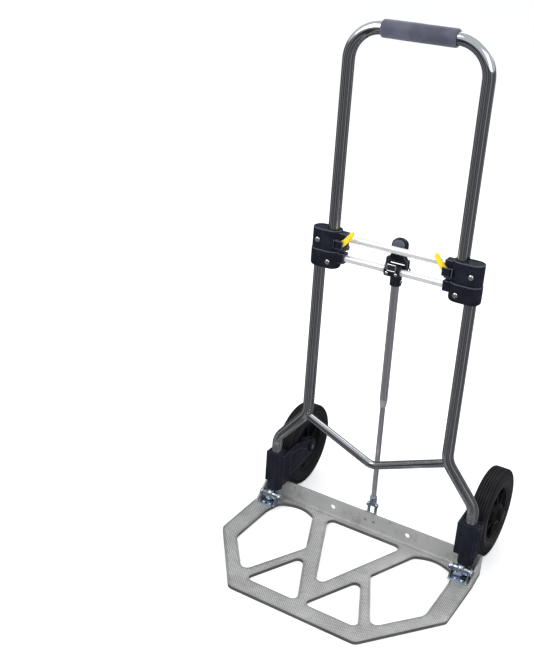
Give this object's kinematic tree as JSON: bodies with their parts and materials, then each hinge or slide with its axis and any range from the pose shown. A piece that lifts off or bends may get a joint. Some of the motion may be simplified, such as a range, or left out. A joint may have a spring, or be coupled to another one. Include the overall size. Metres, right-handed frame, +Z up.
{
  "type": "hand truck",
  "caption": "Folding hand truck with a ribbed cast toe plate, swivelling wheels, a telescopic looped handle with a foam grip and a centre linkage rod.",
  "frame": {"origin": "on the floor, in the middle of the rectangle that the truck covers", "axes": "+Z up, +X to the right seen from the toe plate's side, toe plate towards -Y"},
  "size_m": [0.486, 0.492, 1.0035],
  "materials": {
    "chrome_tube": "chrome-plated steel tube, polished",
    "zinc_steel": "zinc-plated steel, bluish, semi-gloss",
    "rivet_steel": "polished domed rivet",
    "collar_plastic": "moulded blue-black nylon, fine grain",
    "lever_yellow": "bright yellow moulded plastic",
    "foam": "charcoal foam grip, matte",
    "cast_aluminium": "cast aluminium, knurled top, satin edges",
    "tyre_rubber": "black grooved rubber",
    "hub_plastic": "moulded black plastic",
    "rod_zinc": "satin zinc-grey tube"
  },
  "bodies": {
    "frame": {"left_leg_tube": "chrome_tube", "right_leg_tube": "chrome_tube", "crossbar": "chrome_tube", "left_leg_foot": "zinc_steel", "right_leg_foot": "zinc_steel", "foot_rivets": "zinc_steel", "left_upper_collar": "collar_plastic", "right_upper_collar": "collar_plastic", "upper_tie_bar": "chrome_tube", "upper_collar_rivets": "rivet_steel", "lever_pins": "rivet_steel"},
    "left_lever": {"left_release_lever": "lever_yellow"},
    "right_lever": {"right_release_lever": "lever_yellow"},
    "left_lock": {"left_lock_pin": "zinc_steel"},
    "right_lock": {"right_lock_pin": "zinc_steel"},
    "handle": {"handle_tube": "chrome_tube", "foam_grip": "foam", "left_lower_collar": "collar_plastic", "right_lower_collar": "collar_plastic", "lower_tie_bar": "chrome_tube", "lower_collar_rivets": "rivet_steel", "centre_head": "collar_plastic", "head_screws": "rivet_steel", "head_wire_clip": "rivet_steel", "latch_pin": "rivet_steel", "centre_tube": "rod_zinc", "centre_bush": "hub_plastic"},
    "latch": {"latch_lever": "collar_plastic"},
    "rod": {"centre_rod": "rod_zinc", "rod_end": "zinc_steel"},
    "plate": {"toe_plate": "cast_aluminium", "left_hinge_bracket": "zinc_steel", "right_hinge_bracket": "zinc_steel", "hinge_bracket_rivets": "zinc_steel", "left_hinge_pin": "zinc_steel", "right_hinge_pin": "zinc_steel", "clevis": "zinc_steel", "clevis_pin": "zinc_steel", "clevis_rivets": "rivet_steel"},
    "left_bracket": {"left_wheel_bracket": "collar_plastic", "left_axle": "zinc_steel", "left_axle_washers": "zinc_steel"},
    "right_bracket": {"right_wheel_bracket": "collar_plastic", "right_axle": "zinc_steel", "right_axle_washers": "zinc_steel"},
    "left_wheel": {"left_tyre": "tyre_rubber", "left_hub": "hub_plastic", "left_bearings": "zinc_steel", "left_hub_cap": "hub_plastic"},
    "right_wheel": {"right_tyre": "tyre_rubber", "right_hub": "hub_plastic", "right_bearings": "zinc_steel", "right_hub_cap": "hub_plastic"}
  },
  "joints": [
    {"name": "handle_slide", "type": "slide", "parent": "frame", "child": "handle", "axis": [0, 0, -1], "range_m": [0, 0.284]},
    {"name": "plate_fold", "type": "hinge", "parent": "frame", "child": "plate", "pos_m": [0, 0.0335, 0.024], "axis": [-1, 0, 0], "range_deg": [0, 90]},
    {"name": "left_wheel_swivel", "type": "hinge", "parent": "frame", "child": "left_bracket", "pos_m": [-0.214, 0.049, 0.08], "axis": [0, 0, -1], "range_deg": [0, 90]},
    {"name": "right_wheel_swivel", "type": "hinge", "parent": "frame", "child": "right_bracket", "pos_m": [0.214, 0.049, 0.08], "axis": [0, 0, 1], "range_deg": [0, 90]},
    {"name": "left_wheel_spin", "type": "hinge", "parent": "left_bracket", "child": "left_wheel", "pos_m": [-0.214, 0.156, 0.09], "axis": [1, 0, 0], "continuous": true},
    {"name": "right_wheel_spin", "type": "hinge", "parent": "right_bracket", "child": "right_wheel", "pos_m": [0.214, 0.156, 0.09], "axis": [1, 0, 0], "continuous": true},
    {"name": "rod_slide", "type": "slide", "parent": "handle", "child": "rod", "axis": [0, -0.0277, 0.9996], "range_m": [0, 0.20462]},
    {"name": "latch_tilt", "type": "hinge", "parent": "handle", "child": "latch", "pos_m": [0, 0.0635, 0.577], "axis": [-1, 0, 0], "range_deg": [0, 20], "stiffness_Nm_per_rad": 0.3, "springref_deg": -11.46},
    {"name": "left_release", "type": "hinge", "parent": "frame", "child": "left_lever", "pos_m": [-0.102, 0.036, 0.6045], "axis": [0, 1, 0], "range_deg": [0, 25], "stiffness_Nm_per_rad": 0.15, "springref_deg": -17.19},
    {"name": "right_release", "type": "hinge", "parent": "frame", "child": "right_lever", "pos_m": [0.102, 0.036, 0.6045], "axis": [0, -1, 0], "range_deg": [0, 25], "stiffness_Nm_per_rad": 0.15, "springref_deg": -17.19},
    {"name": "left_lock_slide", "type": "slide", "parent": "frame", "child": "left_lock", "axis": [1, 0, 0], "range_m": [0, 0.006]},
    {"name": "right_lock_slide", "type": "slide", "parent": "frame", "child": "right_lock", "axis": [-1, 0, 0], "range_m": [0, 0.006]}
  ],
  "couplings": [
    {"joint": "plate_fold", "follows": "handle_slide", "rad_per_m": 5.5309},
    {"joint": "left_wheel_swivel", "follows": "handle_slide", "rad_per_m": 5.5309},
    {"joint": "right_wheel_swivel", "follows": "handle_slide", "rad_per_m": 5.5309},
    {"joint": "rod_slide", "follows": "handle_slide", "ratio": 0.7205},
    {"joint": "left_lock_slide", "follows": "left_release", "m_per_rad": 0.012605},
    {"joint": "right_lock_slide", "follows": "right_release", "m_per_rad": 0.012605}
  ]
}
